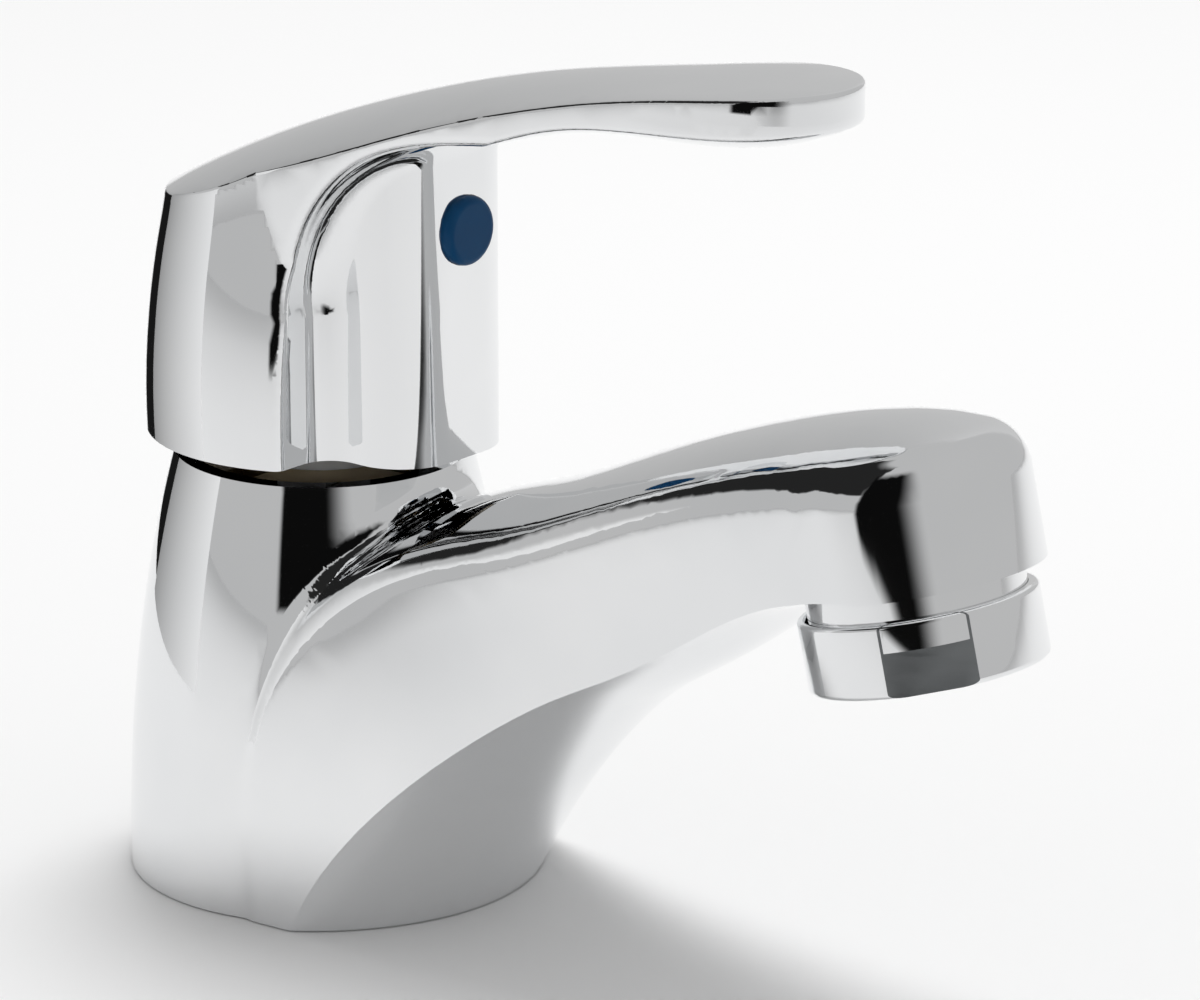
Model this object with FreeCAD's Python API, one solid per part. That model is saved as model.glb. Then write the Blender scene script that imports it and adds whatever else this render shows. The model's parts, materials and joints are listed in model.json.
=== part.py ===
import FreeCAD, Part
import math
import os
from FreeCAD import Vector

# Driving sizes of the outside, in millimetres
base_r = 23.2
neck_z = 50.3
neck_wall = 2.7
rim_gap = 2.7
skirt_r = 20.3
nose_x = 85.5
nose_z = 52.3
nose_r = 14.6
tilt_deg = 13.6
spout_edge_r = 6.0
blend_r = 3.0

# Driving sizes of the control cartridge
chamber_r = 14.5
base_h = 6.0
disc_h = 4.0
carrier_h = 6.0
turret_h = 6.1
wall = 1.9
lip_h = 1.3
nut_h = 3.6
nut_sink = 0.35
slide_offset = -1.9
pivot_drop = 5.1
stem_w = 7.6
stem_rise = 31.5
pin_r = 1.5
ball_r = 2.5
arm_r = 1.8

# Clearances of the fits
running = 0.05
free = 0.2
film = 0.05
thread_gap = 0.05
socket_gap = 0.05

# Driving sizes of the aerator, measured down its own axis from the nose face
neck_len = 6.9
neck_out_r = 12.0
neck_bore_r = 10.0
ring_wall = 1.2
flat_wall = 0.3
ring_top = 2.5
ring_h = 8.1
washer_h = 0.8
flange_h = 0.8

# Driving sizes of the water connections
inlet_r = 4.5
inlet_deep = 11.0
stud_r = 3.4
stud_deep = 12.0
stud_x = -9.5
inlet_x = 5.0
foot_z = 2.0
recess_r = 16.5
recess_h = 9.0
port_r = 1.7
water_r = 6.0

# Heights that follow from the sizes above
rim_z = neck_z + rim_gap
neck_r = chamber_r + neck_wall
stack_h = base_h + 2 * disc_h + film + carrier_h + turret_h + 2 * free + lip_h
floor_z = neck_z - nut_sink - nut_h - stack_h
disc_z = floor_z + base_h
slide_z = disc_z + disc_h + film
carrier_z = slide_z + disc_h
turret_z = carrier_z + carrier_h + free
lip_z = turret_z + turret_h + free
nut_z = lip_z + lip_h
pivot_z = rim_z - pivot_drop
stem_top = rim_z + stem_rise
ring_r = neck_out_r + ring_wall
cart_r = chamber_r - wall + 0.3
cart_in_r = cart_r - wall
turret_r = cart_in_r - free
turret_neck_r = turret_r - 1.8
ball_z = carrier_z + carrier_h - 1.8
slide_r = cart_in_r - free + slide_offset

up = Vector(0, 0, 1)
zero = Vector(0, 0, 0)


def line(a, b):
    return Part.makeLine(a, b)


def arc(a, b, c):
    return Part.Arc(a, b, c).toShape()


def curve(points):
    spline = Part.BSplineCurve()
    spline.interpolate(points)
    return spline.toShape()


def rod(r, z0, z1, x=0.0, y=0.0):
    return Part.makeCylinder(r, z1 - z0, Vector(x, y, z0))


def tube(r_out, r_in, z0, z1, x=0.0, y=0.0):
    return rod(r_out, z0, z1, x, y).cut(rod(r_in, z0 - 1, z1 + 1, x, y))


def block(x0, x1, y0, y1, z0, z1):
    return Part.makeBox(x1 - x0, y1 - y0, z1 - z0, Vector(x0, y0, z0))


def turned(points, smooth=False):
    edges = [curve(points)] if smooth else [line(a, b) for a, b in zip(points, points[1:])]
    low = Vector(0, 0, points[0].z)
    high = Vector(0, 0, points[-1].z)
    edges = [line(low, points[0])] + edges + [line(points[-1], high), line(high, low)]
    return Part.Face(Part.Wire(edges)).revolve(zero, up, 360)


def spread(shape, count, angle=360.0):
    copies = []
    for k in range(count):
        copy = shape.copy()
        copy.rotate(zero, up, angle * k / count)
        copies.append(copy)
    return Part.makeCompound(copies)


def hexes(pitch, reach):
    spots = []
    for i in range(-8, 9):
        for j in range(-8, 9):
            x = pitch * (i + 0.5 * j)
            y = pitch * j * math.sqrt(3) / 2
            if math.hypot(x, y) < reach:
                spots.append((x, y))
    return spots


def to_nose(shape):
    shape.rotate(zero, Vector(0, 1, 0), -tilt_deg)
    shape.translate(Vector(nose_x, 0, nose_z))
    return shape


# Column: a turned, gently waisted pillar
def column_r(z):
    return base_r - (base_r - neck_r) * (z / neck_z) ** 2.2


column = turned([Vector(column_r(z), 0, z) for z in (0, 12, 25, 38, neck_z)], True)


# Spout: fanned sections from the foot of the column to past the nose
start_x = 42.0
drawn_x = 85.5
drawn_z = 52.3


def carried(x, z):
    # Points are drawn for one place of the nose and move with it, more the nearer they lie to it
    share = min(max((x - start_x) / (drawn_x - start_x), 0.0), 1.0)
    return Vector(x + share * (nose_x - drawn_x), 0, z + share * (nose_z - drawn_z))


def section(under, top, crease, shoulder, sag, crown):
    low = carried(*under)
    high = carried(*top)
    rise = (high - low).normalize()
    side = Vector(0, 1, 0)
    low_a = low + rise * sag - side * crease
    low_b = low + rise * sag + side * crease
    high_a = high - rise * crown - side * shoulder
    high_b = high - rise * crown + side * shoulder
    edges = [arc(low_a, low, low_b), line(low_b, high_b), arc(high_b, high, high_a)]
    return Part.Wire(edges + [line(high_a, low_a)])


stations = [
    ((base_r - 0.4, -5), (2, -5), base_r - 1.4, base_r - 0.25, 11.0, 0.6),
    ((base_r + 4.6, 4.0), (2, 8.0), base_r - 1.6, base_r - 0.3, 11.0, 0.8),
    ((34.5, 14.0), (3, 25.0), 20.4, 21.5, 8.8, 1.5),
    ((42.0, 23.0), (13.0, 42.0), 18.6, 17.8, 6.0, 4.0),
    ((53.0, 32.3), (36.0, 53.2), 17.0, 15.4, 3.8, 4.6),
    ((66.0, 41.2), (56.0, 61.8), 15.9, 14.9, 2.4, 4.8),
    ((79.0, 49.6), (76.0, 68.6), 15.4, 14.8, 1.6, 4.8),
    ((92.0, 52.0), (89.0, 70.4), 15.4, 14.8, 1.6, 4.8),
    ((108.0, 54.0), (108.0, 63.5), 15.4, 14.8, 1.6, 4.8),
]
spout = Part.makeLoft([section(*row) for row in stations], True, False)
spout = spout.cut(block(-60, 160, -60, 60, -40, 0))

# The nose is rounded in plan about the aerator axis and cut flat below
front = [
    Vector(0, nose_r, 0),
    Vector(nose_r, 0, 0),
    Vector(0, -nose_r, 0),
]
rear_a = Vector(-100, nose_r + 13.0, 0)
rear_b = Vector(-100, -nose_r - 13.0, 0)
outline = Part.Wire([line(rear_b, front[2]), arc(front[2], front[1], front[0]),
                     line(front[0], rear_a), line(rear_a, rear_b)])
envelope = Part.Face(outline).extrude(Vector(0, 0, 160))
envelope.translate(Vector(0, 0, -100))
spout = spout.common(to_nose(envelope))
spout = spout.cut(to_nose(block(-6.5, 60, -60, 60, -40, 0)))


def edges_where(shape, test):
    return [e for e in shape.Edges if test(e.BoundBox)]


crown = edges_where(spout, lambda b: b.ZMax > nose_z + 12 and (b.ZMin > nose_z + 12 or b.ZMin < nose_z - 20))
spout = spout.makeFillet(spout_edge_r, crown)

# The column and the spout are one casting with a soft blend between them
shell = column.fuse(spout)
seam = edges_where(shell, lambda b: b.ZMax < neck_z - 1 and 0 < b.XMin and b.XMax < base_r
                   and b.ZMax - b.ZMin > 1)
shell = shell.makeFillet(blend_r, seam)

# Threaded collar for the aerator
shell = shell.fuse(to_nose(rod(neck_out_r, -neck_len, 3.0)))

# Hollows: cartridge chamber, nut thread, waterway, foot recess with two tapped bosses
shell = shell.cut(rod(chamber_r, floor_z, neck_z + 1))
shell = shell.cut(rod(chamber_r + 0.7, nut_z, neck_z + 1))
run_in = Vector(8, 0, floor_z + 14.0)
run_out = Vector(nose_x - 3.5, 0, nose_z + 6.5)
waterway = Part.makeCylinder(water_r, (run_out - run_in).Length, run_in, run_out - run_in)
waterway = waterway.fuse(to_nose(rod(neck_bore_r, -neck_len - 1, 3.0)))
waterway = waterway.fuse(to_nose(rod(neck_bore_r - 2.5, 0, 9.0)))
shell = shell.cut(waterway)
recess = rod(recess_r, -1, recess_h)
recess = recess.cut(rod(inlet_r + 2.5, foot_z, recess_h + 1, inlet_x))
recess = recess.cut(rod(stud_r + 2.5, foot_z, recess_h + 1, stud_x))
shell = shell.cut(recess)
shell = shell.cut(rod(inlet_r, foot_z - 1, foot_z + inlet_deep, inlet_x))
shell = shell.cut(rod(port_r + 1.0, foot_z + inlet_deep - 1, floor_z + 1, inlet_x))
shell = shell.cut(rod(stud_r, foot_z - 1, foot_z + stud_deep, stud_x))
gasket_in = recess_r + 1.5
gasket_out = gasket_in + 2.6
gasket_h = 1.4
shell = shell.cut(tube(gasket_out, gasket_in, -1, gasket_h))
base_gasket = tube(gasket_out, gasket_in, 0, gasket_h)

# Cartridge foot: inlet port straight down, outlet port sideways into the chamber
outlet_x = -2.0
outlet_r = 2.2
seal_r = port_r + 2.4
foot = rod(cart_r, floor_z, disc_z)
foot = foot.cut(rod(port_r, floor_z - 1, disc_z + 1, inlet_x))
foot = foot.cut(rod(seal_r, floor_z - 1, floor_z + 1.4, inlet_x))
foot = foot.cut(rod(outlet_r, floor_z + 1.8, disc_z + 1, outlet_x))
foot = foot.cut(block(-cart_r - 1, outlet_x, -outlet_r, outlet_r, floor_z + 1.8, floor_z + 4.2))
port_seal = tube(seal_r, port_r + 0.9, floor_z, floor_z + 1.4, inlet_x)

# Ceramic discs: the fixed one carries the two ports, the sliding one a bridging pocket
disc_r = cart_in_r - free
fixed_disc = rod(disc_r, disc_z, disc_z + disc_h)
fixed_disc = fixed_disc.cut(rod(port_r, disc_z - 1, slide_z + 1, inlet_x))
fixed_disc = fixed_disc.cut(rod(outlet_r, disc_z - 1, slide_z + 1, outlet_x))
key_w = 4.0
moving_disc = rod(slide_r, slide_z, carrier_z, slide_offset)
pocket = block(slide_offset - 5.5, slide_offset + 4.9, -2.6, 2.6, slide_z - 1, slide_z + 1.8)
moving_disc = moving_disc.cut(pocket)
moving_disc = moving_disc.cut(block(slide_offset - key_w, slide_offset + key_w, -key_w, key_w,
                                    carrier_z - 1.2, carrier_z + 1))

# Carrier: keyed into the sliding disc, with a socket for the ball of the stem
carrier = rod(slide_r, carrier_z, carrier_z + carrier_h, slide_offset)
fit_w = key_w - socket_gap
carrier = carrier.fuse(block(slide_offset - fit_w, slide_offset + fit_w, -fit_w, fit_w,
                             carrier_z - 1.2, carrier_z + 1))
carrier = carrier.cut(rod(ball_r + running, ball_z - ball_r - 0.6, turret_z))

# Turret: turns in the housing and holds the pivot pin of the stem
turret_top = rim_z - 1.5
turret = rod(turret_r, turret_z, turret_z + turret_h)
turret = turret.fuse(rod(turret_neck_r, turret_z, turret_top))
slot_x = stem_w / 2 + 2.6
slot_y = stem_w / 2 + 0.3
turret = turret.cut(block(-slot_x, slot_x, -slot_y, slot_y, turret_z - 1, turret_top + 1))
pin_reach = turret_neck_r - 0.5
pin_hole = Part.makeCylinder(pin_r, 60, Vector(0, -30, pivot_z), Vector(0, 1, 0))
turret = turret.cut(pin_hole)
pivot_pin = Part.makeCylinder(pin_r, 2 * pin_reach, Vector(0, -pin_reach, pivot_z), Vector(0, 1, 0))

# Housing: a cup over the discs and the turret, sealed to the chamber near its top
seal_z = turret_z + 1.5
housing = rod(cart_r, disc_z, nut_z).fuse(rod(chamber_r - free, seal_z, nut_z))
housing = housing.cut(rod(cart_in_r, disc_z - 1, lip_z))
housing = housing.cut(rod(turret_neck_r + free, lip_z - 1, nut_z + 1))
ring_z = seal_z + 1.6
housing = housing.cut(tube(chamber_r + 1, cart_r, ring_z, ring_z + 2.0))
housing_ring = tube(chamber_r, cart_r, ring_z, ring_z + 2.0)
housing_ring = housing_ring.makeFillet(0.5, housing_ring.Edges[0:1])

# Clamping nut with four spanner notches
nut_top = nut_z + nut_h
nut = tube(chamber_r + 0.7 - thread_gap, turret_neck_r + 0.4, nut_z, nut_top)
notch = block(chamber_r - 3.0, chamber_r + 3, -2.0, 2.0, nut_top - 2.0, nut_top + 1)
nut = nut.cut(spread(notch, 4))

# Stem: a ball in the carrier, a pivot eye, and a square that carries the handle
half = stem_w / 2
stem = block(-half, half, -half, half, pivot_z - 4.0, stem_top)
stem = stem.fuse(rod(arm_r, ball_z, pivot_z - 3.0))
stem = stem.fuse(Part.makeSphere(ball_r, Vector(0, 0, ball_z)))
eye = Part.makeCylinder(pin_r + running, 60, Vector(0, -30, pivot_z), Vector(0, 1, 0))
stem = stem.cut(eye)

# Handle: skirt and lever in plan, a crowned top, a scooped front and a lens-shaped underside
def band(x, mid, edge, half_w, far):
    # One cross section at x, with heights above the rim: an arc through its middle and edges, closed at far
    side = skirt_r + 3.0
    drop = (edge - mid) * (side / half_w) ** 2
    a = Vector(x, -side, rim_z + mid + drop)
    b = Vector(x, 0, rim_z + mid)
    c = Vector(x, side, rim_z + mid + drop)
    a_far = Vector(x, -side, rim_z + far)
    c_far = Vector(x, side, rim_z + far)
    return Part.Wire([arc(a, b, c), line(c, c_far), line(c_far, a_far), line(a_far, a)])


top_rows = [(-26, 22.5, 18.5, 16), (-10, 31.6, 27.4, 16), (10, 39.8, 34.6, 16), (30, 45.7, 41.6, 13.2),
            (50, 49.2, 47.8, 11.8), (70, 50.9, 50.7, 11), (90, 51.2, 51.1, 11)]
top_mass = Part.makeLoft([band(*row, -23.0) for row in top_rows], True, False)
under_rows = [(30, 39.7, 39.8, 12), (42, 41.8, 43.2, 12), (52, 42.9, 45.6, 12), (62, 43.3, 47.2, 12),
              (70, 44.6, 50.0, 12), (80, 49.0, 55.0, 12)]
under_cut = Part.makeLoft([band(*row, 7.0) for row in under_rows], True, False)
scoop_x = 9.7
scoop = [(scoop_x, 17.0), (12.0, 29.0), (19.0, 36.4), (30.0, 39.85), (42.0, 41.4)]
reach = 30.0
scoop_points = [Vector(x, -reach, rim_z + h) for x, h in scoop]
scoop_low = rim_z - 13.0
corners = [Vector(90, -reach, scoop_points[-1].z), Vector(90, -reach, scoop_low)]
corners += [Vector(scoop_x, -reach, scoop_low)]
scoop_edges = [curve(scoop_points), line(scoop_points[-1], corners[0]), line(corners[0], corners[1])]
scoop_edges += [line(corners[1], corners[2]), line(corners[2], scoop_points[0])]
scoop_cut = Part.Face(Part.Wire(scoop_edges)).extrude(Vector(0, 2 * reach, 0))
skirt_rows = [(0.0, 0.0), (0.0, 7.0), (0.6, 15.0), (1.6, 22.0), (2.5, 27.0), (3.6, 39.0), (4.0, 53.0)]
skirt = turned([Vector(skirt_r - d, 0, rim_z + h) for d, h in skirt_rows], True)
plan = [(-3, 15.6), (4, 16.2), (12, 15.9), (20, 14.7), (30, 13.1), (40, 12.2), (50, 11.8), (60, 11.5)]
plan += [(67.5, 10.0), (73.4, 6.2), (75.9, 0)]
plan += [(x, -y) for x, y in plan[-2::-1]]
plan_z = rim_z + 10
plan_edge = curve([Vector(x, y, plan_z) for x, y in plan])
plan_back = line(Vector(plan[-1][0], plan[-1][1], plan_z), Vector(plan[0][0], plan[0][1], plan_z))
lever = Part.Face(Part.Wire([plan_edge, plan_back])).extrude(Vector(0, 0, 60))
handle = skirt.fuse(lever).cut(scoop_cut).cut(under_cut)
panel_x = 22.0
barrel_y = 10.0
barrel_top = rim_z + 39.8
barrel = block(scoop_x - 0.6, panel_x, -barrel_y, barrel_y, rim_z, barrel_top)
barrel = barrel.makeFillet(7.0, edges_where(barrel, lambda b: b.ZMax - b.ZMin > 20 and b.XMin > panel_x - 1))
handle = handle.fuse(barrel).common(top_mass)

# Soft blends round the barrel, eased shell edges and a crisp lever edge
valley = edges_where(handle, lambda b: abs(max(b.YMax, -b.YMin) - barrel_y) < 0.05 and b.ZMax < rim_z + 34
                     and scoop_x - 0.4 < b.XMin < panel_x - 8 and b.XMax - b.XMin < 6 and b.ZMax - b.ZMin > 5)
handle = handle.makeFillet(4.0, valley)
shell_edge = edges_where(handle, lambda b: min(abs(b.YMin), abs(b.YMax)) > 12 and max(b.YMax, -b.YMin) > 15
                         and b.XMin > scoop_x - 0.4 and b.XMax < 36 and b.ZMin + 2 < b.ZMax < rim_z + 41)
handle = handle.makeFillet(1.5, shell_edge)
upper_edge = edges_where(handle, lambda b: b.ZMin > rim_z + 27 and b.ZMax > rim_z + 33
                         and (b.XMax > 70 and b.ZMax > rim_z + 47 or b.XMin < -10))
handle = handle.makeFillet(0.5, upper_edge)
lower_edge = edges_where(handle, lambda b: b.ZMin > rim_z + 39 and b.XMax > 70 and b.ZMax < rim_z + 47.5)
handle = handle.makeFillet(0.8, lower_edge)

# Inside of the handle: hollow skirt and barrel, a boss with a square socket
roof_z = rim_z + 23.0
skirt_wall = 1.9
inside_rows = [(0.0, rim_z - 1), (0.0, rim_z + 7), (0.6, rim_z + 15), (2.2, roof_z)]
hollow = turned([Vector(skirt_r - skirt_wall - d, 0, z) for d, z in inside_rows], True)
hollow = hollow.common(block(-30, 7.6, -30, 30, rim_z - 2, rim_z + 37))
hollow = hollow.fuse(block(0, panel_x - 2.2, 2.0 - barrel_y, barrel_y - 2.0, rim_z - 1, roof_z - 2.0))
boss_z = rim_z + 8.0
hollow = hollow.cut(rod(stem_w / 2 + 4.0, boss_z, roof_z + 1))
handle = handle.cut(hollow)
sock = half + socket_gap
handle = handle.cut(block(-sock, sock, -sock, sock, boss_z - 1, stem_top + 0.3))

# Index button in the front panel, with the grub screw that locks the stem behind it
button_z = rim_z + 26.6
button_r = 4.0
screw_r = 2.4
forward = Vector(1, 0, 0)
handle = handle.cut(Part.makeCylinder(screw_r + socket_gap, panel_x, Vector(half - 1, 0, button_z), forward))
handle = handle.cut(Part.makeCylinder(button_r + socket_gap, 6, Vector(panel_x - 3, 0, button_z), forward))
index_button = Part.makeCylinder(button_r, 4.2, Vector(panel_x - 3, 0, button_z), forward)
index_button = index_button.makeFillet(0.9, edges_where(index_button, lambda b: b.XMin > panel_x + 1))
grub_screw = Part.makeCylinder(screw_r, 9.0, Vector(half, 0, button_z), forward)
key_hole = Part.makePolygon([Vector(half + 6, 1.45 * math.cos(math.pi * k / 3),
                                    button_z + 1.45 * math.sin(math.pi * k / 3)) for k in range(7)])
grub_screw = grub_screw.cut(Part.Face(key_hole).extrude(Vector(6, 0, 0)))

# Aerator: ring with spanner flats, washer, pierced insert, flow disc and screen
ring_low = -ring_top - ring_h
washer_z = -neck_len - washer_h
shelf_z = washer_z - flange_h
ring = rod(ring_r, ring_low, -ring_top)
ring = ring.makeFillet(0.6, edges_where(ring, lambda b: b.ZMax - b.ZMin < 0.1))
ring = ring.cut(rod(neck_out_r + thread_gap, shelf_z, 0))
ring = ring.cut(rod(neck_out_r - 1.4, ring_low - 1, shelf_z + 1))
flat_x = neck_out_r + flat_wall
flat = block(flat_x, flat_x + 8, -20, 20, ring_low - 1, ring_low + 5.0)
flat.rotate(zero, up, -50.0)
ring = ring.cut(spread(flat, 2))
washer = tube(neck_out_r - 0.1, neck_bore_r, washer_z, -neck_len)
insert_r = neck_bore_r - free
cup_top = -3.0
insert = rod(insert_r, shelf_z, cup_top).cut(rod(insert_r - 1.2, shelf_z + 0.6, 0))
insert = insert.fuse(tube(neck_out_r - 0.1, insert_r - 0.5, shelf_z, washer_z))
insert = insert.fuse(rod(neck_out_r - 1.6, ring_low + 0.6, shelf_z + 0.6))
cells = Part.makeCompound([rod(0.85, ring_low - 1, shelf_z + 2, x, y) for x, y in hexes(2.3, insert_r - 1.6)])
insert = insert.cut(cells)
flow_disc = rod(insert_r - 1.3, shelf_z + 0.6, shelf_z + 2.2)
jet_x = insert_r - 3.6
jets = Part.makeCompound([rod(0.8, shelf_z, shelf_z + 3, jet_x * math.cos(math.pi * k / 6),
                              jet_x * math.sin(math.pi * k / 6)) for k in range(12)])
flow_disc = flow_disc.cut(jets)
screen = rod(insert_r - 0.2, cup_top, cup_top + 0.6)
mesh = Part.makeCompound([rod(0.7, cup_top - 1, cup_top + 2, x, y) for x, y in hexes(2.0, insert_r - 1.4)])
screen = screen.cut(mesh)

nodes = {
    "body": shell,
    "base_gasket": base_gasket,
    "cartridge_base": foot,
    "port_seal": port_seal,
    "fixed_disc": fixed_disc,
    "moving_disc": moving_disc,
    "disc_carrier": carrier,
    "swivel_turret": turret,
    "pivot_pin": pivot_pin,
    "cartridge_housing": housing,
    "housing_ring": housing_ring,
    "clamping_nut": nut,
    "stem": stem,
    "handle": handle,
    "index_button": index_button,
    "grub_screw": grub_screw,
    "aerator_ring": to_nose(ring),
    "aerator_washer": to_nose(washer),
    "aerator_insert": to_nose(insert),
    "flow_disc": to_nose(flow_disc),
    "aerator_screen": to_nose(screen),
}
os.makedirs("parts", exist_ok=True)
for name, shape in nodes.items():
    shape.exportStep("parts/" + name + ".step")
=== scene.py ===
import bpy
import json
import math
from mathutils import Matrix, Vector


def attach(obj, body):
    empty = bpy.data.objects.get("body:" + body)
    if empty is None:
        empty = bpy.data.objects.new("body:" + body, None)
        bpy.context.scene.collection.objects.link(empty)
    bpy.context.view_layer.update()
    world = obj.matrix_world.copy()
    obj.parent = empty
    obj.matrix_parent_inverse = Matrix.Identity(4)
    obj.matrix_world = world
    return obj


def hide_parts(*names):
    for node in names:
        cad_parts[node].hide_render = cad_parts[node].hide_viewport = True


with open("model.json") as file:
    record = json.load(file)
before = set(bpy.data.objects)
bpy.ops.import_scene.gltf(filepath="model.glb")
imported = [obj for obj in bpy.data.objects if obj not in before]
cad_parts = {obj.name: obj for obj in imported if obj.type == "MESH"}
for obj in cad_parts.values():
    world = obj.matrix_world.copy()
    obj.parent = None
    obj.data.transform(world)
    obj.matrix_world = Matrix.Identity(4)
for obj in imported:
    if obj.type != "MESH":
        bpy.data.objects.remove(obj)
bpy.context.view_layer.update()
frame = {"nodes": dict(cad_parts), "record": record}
bpy.ops.object.select_all(action="DESELECT")
print("frame loaded:", len(frame["nodes"]), "nodes")

# camera at the photograph's angle, in degrees, metres and millimetres of lens
cameraSetup = {
    "azimuth": 40.0,
    "elevation": 17.5,
    "distance": 0.7,
    "target": (0.0417, 0.0, 0.0519),
    "lens": 188.6,
    "sensor": 36.0,
    "clipStart": 0.01,
}


def addCamera(setup):
    a = math.radians(setup["azimuth"])
    e = math.radians(setup["elevation"])
    back = Vector((math.sin(a) * math.cos(e), -math.cos(a) * math.cos(e), math.sin(e)))
    bpy.ops.object.camera_add(location=Vector(setup["target"]) + back * setup["distance"])
    camera = bpy.context.object
    camera.rotation_euler = back.to_track_quat("Z", "Y").to_euler()
    camera.data.sensor_width = setup["sensor"]
    camera.data.sensor_fit = "HORIZONTAL"
    camera.data.lens = setup["lens"]
    camera.data.clip_start = setup["clipStart"]
    bpy.context.scene.camera = camera


addCamera(cameraSetup)
print("camera placed")


def newMaterial(name):
    material = bpy.data.materials.new(name)
    material.use_nodes = True
    tree = material.node_tree
    return material, tree, tree.nodes["Principled BSDF"]


def wire(tree, a, outName, b, inName):
    tree.links.new(a.outputs[outName], b.inputs[inName])


def objectNoise(tree, scale, detail, stretch=(1.0, 1.0, 1.0)):
    place = tree.nodes.new("ShaderNodeTexCoord")
    turn = tree.nodes.new("ShaderNodeMapping")
    turn.inputs["Scale"].default_value = stretch
    noise = tree.nodes.new("ShaderNodeTexNoise")
    noise.inputs["Scale"].default_value = scale
    noise.inputs["Detail"].default_value = detail
    wire(tree, place, "Object", turn, "Vector")
    wire(tree, turn, "Vector", noise, "Vector")
    return noise


def ramp(tree, source, low, high, start=0.3, end=0.7):
    node = tree.nodes.new("ShaderNodeValToRGB")
    node.color_ramp.elements[0].position = start
    node.color_ramp.elements[1].position = end
    node.color_ramp.elements[0].color = (*low, 1.0)
    node.color_ramp.elements[1].color = (*high, 1.0)
    wire(tree, source, "Fac", node, "Fac")
    return node


def grey(v):
    return (v, v, v)


# colour and roughness that follow the same noise
def tintAndFilm(tree, shader, noise, low, high, rough):
    tint = ramp(tree, noise, low, high)
    film = ramp(tree, noise, grey(rough[0]), grey(rough[1]))
    wire(tree, tint, "Color", shader, "Base Color")
    wire(tree, film, "Color", shader, "Roughness")


def addBump(tree, shader, noise, strength, depth):
    bump = tree.nodes.new("ShaderNodeBump")
    bump.inputs["Strength"].default_value = strength
    bump.inputs["Distance"].default_value = depth
    wire(tree, noise, "Fac", bump, "Height")
    wire(tree, bump, "Normal", shader, "Normal")


# polished chrome: nearly clean, with faint water haze in the roughness
chromeLook = {
    "low": (0.80, 0.81, 0.82),
    "high": (0.86, 0.865, 0.87),
    "rough": (0.025, 0.05),
    "hazeScale": 35.0,
    "hazeDetail": 3.0,
}


def polishedChrome(name, look):
    material, tree, shader = newMaterial(name)
    haze = objectNoise(tree, look["hazeScale"], look["hazeDetail"])
    tintAndFilm(tree, shader, haze, look["low"], look["high"], look["rough"])
    shader.inputs["Metallic"].default_value = 1.0
    return material


# machined metal: fine turning lines
turningLines = {"scale": 900.0, "detail": 2.0, "stretch": (0.05, 0.05, 1.0), "bump": 0.15, "depth": 0.0001}


def machinedMetal(name, low, high, rough):
    material, tree, shader = newMaterial(name)
    lines = objectNoise(tree, turningLines["scale"], turningLines["detail"], turningLines["stretch"])
    tintAndFilm(tree, shader, lines, low, high, rough)
    addBump(tree, shader, lines, turningLines["bump"], turningLines["depth"])
    shader.inputs["Metallic"].default_value = 1.0
    return material


# moulded plastic, rubber and ceramic: fine grain over a slightly uneven colour
mouldedGrain = {"cloudScale": 180.0, "cloudDetail": 3.0, "poreScale": 2400.0, "poreDetail": 2.0, "depth": 0.0001}


def mouldedStuff(name, low, high, rough, grain, coat=0.0, shine=0.5):
    material, tree, shader = newMaterial(name)
    cloud = objectNoise(tree, mouldedGrain["cloudScale"], mouldedGrain["cloudDetail"])
    tintAndFilm(tree, shader, cloud, low, high, rough)
    pores = objectNoise(tree, mouldedGrain["poreScale"], mouldedGrain["poreDetail"])
    addBump(tree, shader, pores, grain, mouldedGrain["depth"])
    shader.inputs["Coat Weight"].default_value = coat
    shader.inputs["Specular IOR Level"].default_value = shine
    return material


# the aerator ring is chrome too, with two brushed spanner flats at a set reach from its centre; the flats'
# darker colour is painted shade
ringFlats = {
    "centre": (0.0855, 0.0, 0.0523),
    "facing": (0.6248, -0.766, 0.1511),
    "reach": 0.0123,
    "within": 0.00006,
    # painted shade: dark base colour for the flats, standing in for their dark reflection
    "tint": (0.2, 0.21, 0.215),
    "rough": (0.28, 0.48),
    "scratchScale": 1500.0,
    "scratchDetail": 2.0,
    "scratchStretch": (0.08, 0.08, 1.0),
}


# 1 on the flats and 0 on the rest of the ring
def flatMask(tree, flats):
    place = tree.nodes.new("ShaderNodeTexCoord")
    fromCentre = tree.nodes.new("ShaderNodeVectorMath")
    fromCentre.operation = "SUBTRACT"
    fromCentre.inputs[1].default_value = flats["centre"]
    along = tree.nodes.new("ShaderNodeVectorMath")
    along.operation = "DOT_PRODUCT"
    along.inputs[1].default_value = flats["facing"]
    size = tree.nodes.new("ShaderNodeMath")
    size.operation = "ABSOLUTE"
    onFlat = tree.nodes.new("ShaderNodeMath")
    onFlat.operation = "COMPARE"
    onFlat.inputs[1].default_value = flats["reach"]
    onFlat.inputs[2].default_value = flats["within"]
    wire(tree, place, "Object", fromCentre, 0)
    wire(tree, fromCentre, "Vector", along, 0)
    wire(tree, along, "Value", size, 0)
    wire(tree, size, "Value", onFlat, 0)
    return onFlat


# sockets 6 and 7 of a colour mix are its two colours, and 2 is its result
def mixByMask(tree, mask, shader, socketName):
    mix = tree.nodes.new("ShaderNodeMix")
    mix.data_type = "RGBA"
    polished = shader.inputs[socketName].links[0].from_node
    wire(tree, mask, "Value", mix, 0)
    wire(tree, polished, "Color", mix, 6)
    wire(tree, mix, 2, shader, socketName)
    return mix


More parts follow.
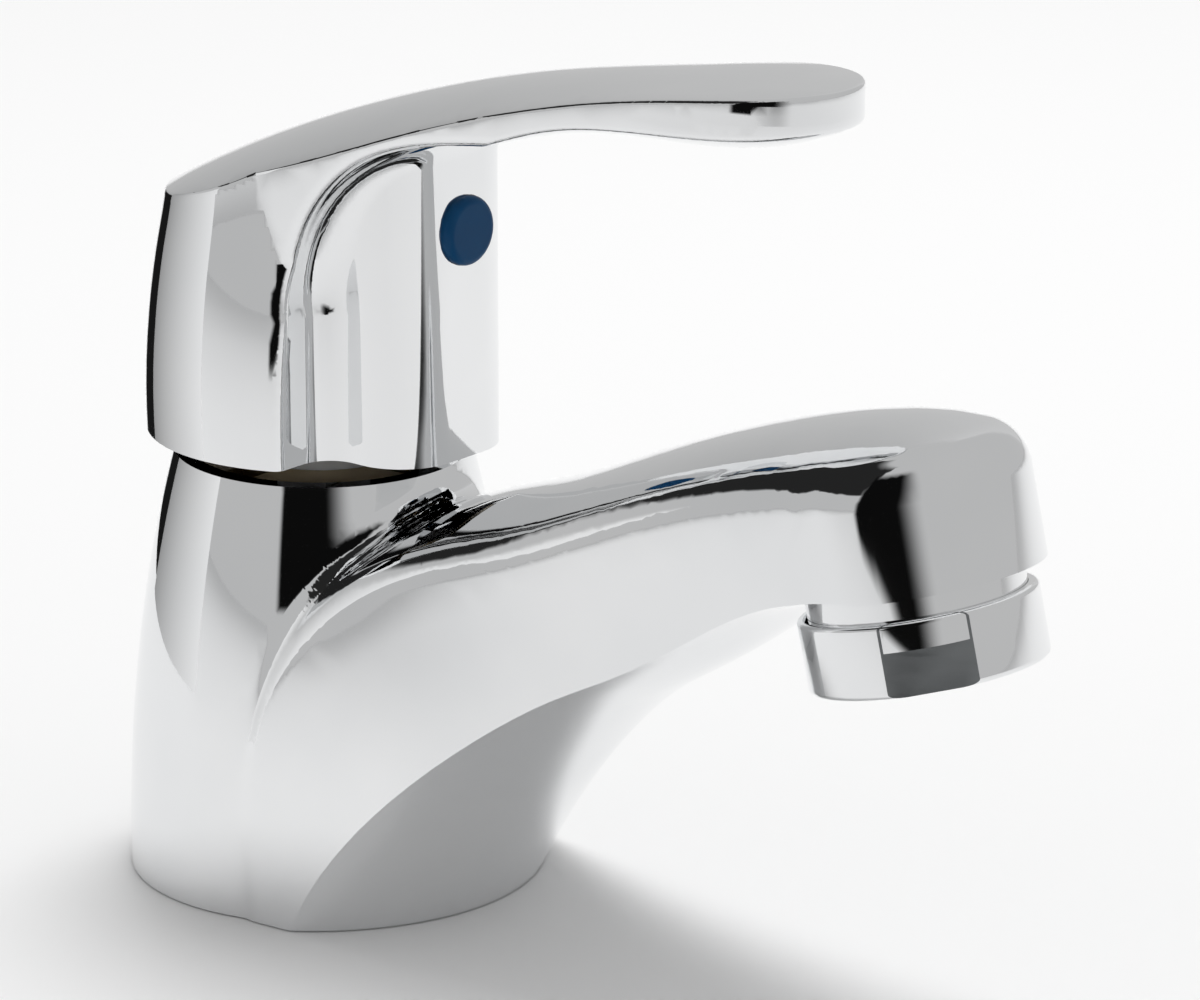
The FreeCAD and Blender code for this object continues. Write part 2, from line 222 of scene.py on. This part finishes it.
def ringChrome(name, look, flats):
    material = polishedChrome(name, look)
    tree = material.node_tree
    shader = tree.nodes["Principled BSDF"]
    onFlat = flatMask(tree, flats)
    scratches = objectNoise(tree, flats["scratchScale"], flats["scratchDetail"], flats["scratchStretch"])
    brushed = ramp(tree, scratches, grey(flats["rough"][0]), grey(flats["rough"][1]))
    wire(tree, brushed, "Color", mixByMask(tree, onFlat, shader, "Roughness"), 7)
    # painted shade: the flats' base colour is darkened
    mixByMask(tree, onFlat, shader, "Base Color").inputs[7].default_value = (*flats["tint"], 1.0)
    return material


# darker and lighter colour, least and most roughness, then grain, coat and shine where they are set
finishes = {
    "chrome": polishedChrome("polishedChrome", chromeLook),
    "steel": machinedMetal("machinedSteel", (0.5, 0.5, 0.51), (0.62, 0.62, 0.63), (0.25, 0.4)),
    # the brass colours are darker than bare brass: painted shade for the nut in the shadowed gap under the skirt
    "brass": machinedMetal("machinedBrassPaintedShade", (0.34, 0.25, 0.13), (0.46, 0.35, 0.18), (0.25, 0.4)),
    "ceramic": mouldedStuff("lappedCeramic", (0.86, 0.85, 0.82), (0.9, 0.89, 0.87), (0.15, 0.25), 0.02, 0.3),
    "pale_plastic": mouldedStuff("palePlastic", (0.78, 0.79, 0.79), (0.84, 0.85, 0.85), (0.4, 0.5), 0.1),
    "grey_plastic": mouldedStuff("greyPlastic", (0.10, 0.11, 0.13), (0.14, 0.15, 0.17), (0.4, 0.55), 0.15),
    "blue_plastic": mouldedStuff("blueIndex", (0.002, 0.05, 0.14), (0.004, 0.06, 0.16), (0.3, 0.4),
                                 0.02, 0.0, 0.12),
    "rubber": mouldedStuff("blackRubber", (0.015, 0.015, 0.016), (0.03, 0.03, 0.031), (0.6, 0.75), 0.25),
}
slotOf = {row["node"]: row["material_slot"] for row in frame["record"]["subparts"]}
ringChromeWithPaintedShade = ringChrome("ringChrome", chromeLook, ringFlats)
for name, node in frame["nodes"].items():
    node.data.materials.clear()
    node.data.materials.append(ringChromeWithPaintedShade if name == "aerator_ring" else finishes[slotOf[name]])
print("finishes given to", len(slotOf), "nodes")

# smooth copies of the chromed castings, so that reflections flow over them
smoothing = {
    "copies": {"body": "tap_body", "handle": "lever", "aerator_ring": "tap_body"},
    "angle": 28.0,  # sharper edges than this stay sharp
    "mergeWithin": 0.000005,
}


def smoothCopy(nodeName, bodyName):
    source = frame["nodes"][nodeName]
    piece = source.copy()
    piece.data = source.data.copy()
    piece.parent = None
    piece.name = nodeName + "_skin"
    bpy.context.collection.objects.link(piece)
    bpy.ops.object.select_all(action="DESELECT")
    piece.select_set(True)
    bpy.context.view_layer.objects.active = piece
    if piece.data.has_custom_normals:
        bpy.ops.mesh.customdata_custom_splitnormals_clear()
    bpy.ops.object.mode_set(mode="EDIT")
    bpy.ops.mesh.select_all(action="SELECT")
    bpy.ops.mesh.remove_doubles(threshold=smoothing["mergeWithin"])
    bpy.ops.object.mode_set(mode="OBJECT")
    bpy.ops.object.shade_smooth_by_angle(angle=math.radians(smoothing["angle"]))
    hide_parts(nodeName)
    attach(piece, bodyName)


for name, bodyName in smoothing["copies"].items():
    smoothCopy(name, bodyName)
print("smooth skins made:", len(smoothing["copies"]))

# cards of the white tent, in degrees and metres round a point above the foot
# shades run from start to end, and fades run inwards from start, end, bottom and top
tentCards = {
    "middle": 0.05,
    "grid": (24, 16),
    "rows": [
        {"name": "frontFlag", "azimuth": (-80, -26), "elevation": (-7, 62), "radius": 0.45,
         "shades": (0.004, 0.004), "fades": (4, 20, 3, 10)},
        {"name": "upperFlag", "azimuth": (-184, -84), "elevation": (24, 80), "radius": 1.6,
         "shades": (0.02, 0.02), "fades": (4, 6, 3, 10)},
        {"name": "rearCard", "azimuth": (96, 182), "elevation": (-1, 60), "radius": 1.7,
         "shades": (0.66, 0.4), "fades": (6, 6, 0, 12)},
        {"name": "edgeStrip", "azimuth": (150, 177), "elevation": (-16, 10), "radius": 0.17,
         "shades": (0.01, 0.01), "fades": (5, 2, 0, 6)},
        {"name": "leftCard", "azimuth": (-184, -128), "elevation": (-17, 24), "radius": 0.175,
         "shades": (0.34, 0.9), "fades": (0, 0, 0, 8)},
    ],
}


# an input is a fixed number or the output of another node
def mathNode(tree, operation, *values):
    node = tree.nodes.new("ShaderNodeMath")
    node.operation = operation
    for i, value in enumerate(values):
        if isinstance(value, float):
            node.inputs[i].default_value = value
        else:
            tree.links.new(value, node.inputs[i])
    return node.outputs["Value"]


def mapRange(tree, value, fromPair, toPair, style="LINEAR"):
    node = tree.nodes.new("ShaderNodeMapRange")
    node.interpolation_type = style
    node.inputs["From Min"].default_value, node.inputs["From Max"].default_value = fromPair
    node.inputs["To Min"].default_value, node.inputs["To Max"].default_value = toPair
    tree.links.new(value, node.inputs["Value"])
    return node.outputs["Result"]


# azimuth from the card's middle and elevation, both in radians
def cardAngles(tree, middleAzimuth, radius):
    place = tree.nodes.new("ShaderNodeTexCoord")
    turn = tree.nodes.new("ShaderNodeVectorRotate")
    turn.rotation_type = "Z_AXIS"
    turn.inputs["Angle"].default_value = -middleAzimuth
    split = tree.nodes.new("ShaderNodeSeparateXYZ")
    wire(tree, place, "Object", turn, "Vector")
    wire(tree, turn, "Vector", split, "Vector")
    across = mathNode(tree, "ARCTAN2", split.outputs["Y"], split.outputs["X"])
    lift = mathNode(tree, "SUBTRACT", split.outputs["Z"], tentCards["middle"])
    return across, mathNode(tree, "ARCSINE", mathNode(tree, "DIVIDE", lift, radius))


# 0 at the outer angle and 1 at the inner one
def edgeFade(tree, angle, outer, inner):
    if outer < inner:
        return mapRange(tree, angle, (outer, inner), (0.0, 1.0), "SMOOTHSTEP")
    return mapRange(tree, angle, (inner, outer), (1.0, 0.0), "SMOOTHSTEP")


def cardMaterial(row):
    material = bpy.data.materials.new(row["name"])
    material.use_nodes = True
    tree = material.node_tree
    tree.nodes.clear()
    start, end = map(math.radians, row["azimuth"])
    bottom, top = map(math.radians, row["elevation"])
    startFade, endFade, bottomFade, topFade = map(math.radians, row["fades"])
    across, up = cardAngles(tree, (start + end) / 2, row["radius"])
    half = (end - start) / 2
    edges = [(across, -half, -half + startFade), (across, half, half - endFade),
             (up, bottom, bottom + bottomFade), (up, top, top - topFade)]
    steps = [edgeFade(tree, *edge) for edge in edges if edge[1] != edge[2]]
    solid = steps[0]
    for step in steps[1:]:
        solid = mathNode(tree, "MULTIPLY", solid, step)
    glow = tree.nodes.new("ShaderNodeEmission")
    clear = tree.nodes.new("ShaderNodeBsdfTransparent")
    blend = tree.nodes.new("ShaderNodeMixShader")
    out = tree.nodes.new("ShaderNodeOutputMaterial")
    tree.links.new(mapRange(tree, across, (-half, half), row["shades"]), glow.inputs["Color"])
    tree.links.new(solid, blend.inputs[0])
    wire(tree, clear, "BSDF", blend, 1)
    wire(tree, glow, "Emission", blend, 2)
    wire(tree, blend, "Shader", out, "Surface")
    return material


# a grid from -1 to 1 is bent round the middle, and shows only in reflections
def addCard(row):
    across, up = tentCards["grid"]
    bpy.ops.mesh.primitive_grid_add(x_subdivisions=across, y_subdivisions=up, size=2.0)
    card = bpy.context.object
    (start, end), (bottom, top) = row["azimuth"], row["elevation"]
    for v in card.data.vertices:
        az = math.radians(start + (end - start) * (v.co.x + 1) / 2)
        el = math.radians(bottom + (top - bottom) * (v.co.y + 1) / 2)
        outward = Vector((math.cos(az) * math.cos(el), math.sin(az) * math.cos(el), math.sin(el)))
        v.co = outward * row["radius"]
        v.co.z += tentCards["middle"]
    card.name = row["name"]
    card.data.materials.append(cardMaterial(row))
    card.visible_camera = False
    card.visible_diffuse = False
    card.visible_shadow = False


for row in tentCards["rows"]:
    addCard(row)
print("cards hung:", len(tentCards["rows"]))

# pale floor just under the foot
floorLook = {"size": 8.0, "height": -0.0002, "shade": 0.88, "rough": 0.9}
bpy.ops.mesh.primitive_plane_add(size=floorLook["size"], location=(0, 0, floorLook["height"]))
floor = bpy.context.object
floor.name = "floor"
floorPaint, _, floorShader = newMaterial("paleFloor")
floorShader.inputs["Base Color"].default_value = (*grey(floorLook["shade"]), 1.0)
floorShader.inputs["Roughness"].default_value = floorLook["rough"]
floor.data.materials.append(floorPaint)

# white tent and one soft lamp, which stands behind so that the spout's shadow falls to the front
lighting = {"tent": 0.55, "place": (-0.1, 0.3, 1.2), "target": (0.03, 0, 0.05), "size": 0.5, "power": 9.0}
world = bpy.data.worlds.new("whiteTent")
bpy.context.scene.world = world
world.use_nodes = True
sky = world.node_tree.nodes["Background"]
sky.inputs["Color"].default_value = (1.0, 1.0, 1.0, 1.0)
sky.inputs["Strength"].default_value = lighting["tent"]


def addSoftLight(name, setup):
    bpy.ops.object.light_add(type="AREA", location=setup["place"])
    lamp = bpy.context.object
    lamp.name = name
    lamp.data.shape = "SQUARE"
    lamp.data.size = setup["size"]
    lamp.data.energy = setup["power"]
    lamp.rotation_euler = (Vector(setup["place"]) - Vector(setup["target"])).to_track_quat("Z", "Y").to_euler()
    lamp.visible_glossy = False


addSoftLight("topLight", lighting)
bpy.context.scene.view_settings.view_transform = "Standard"
print("studio ready")

bpy.context.view_layer.update()
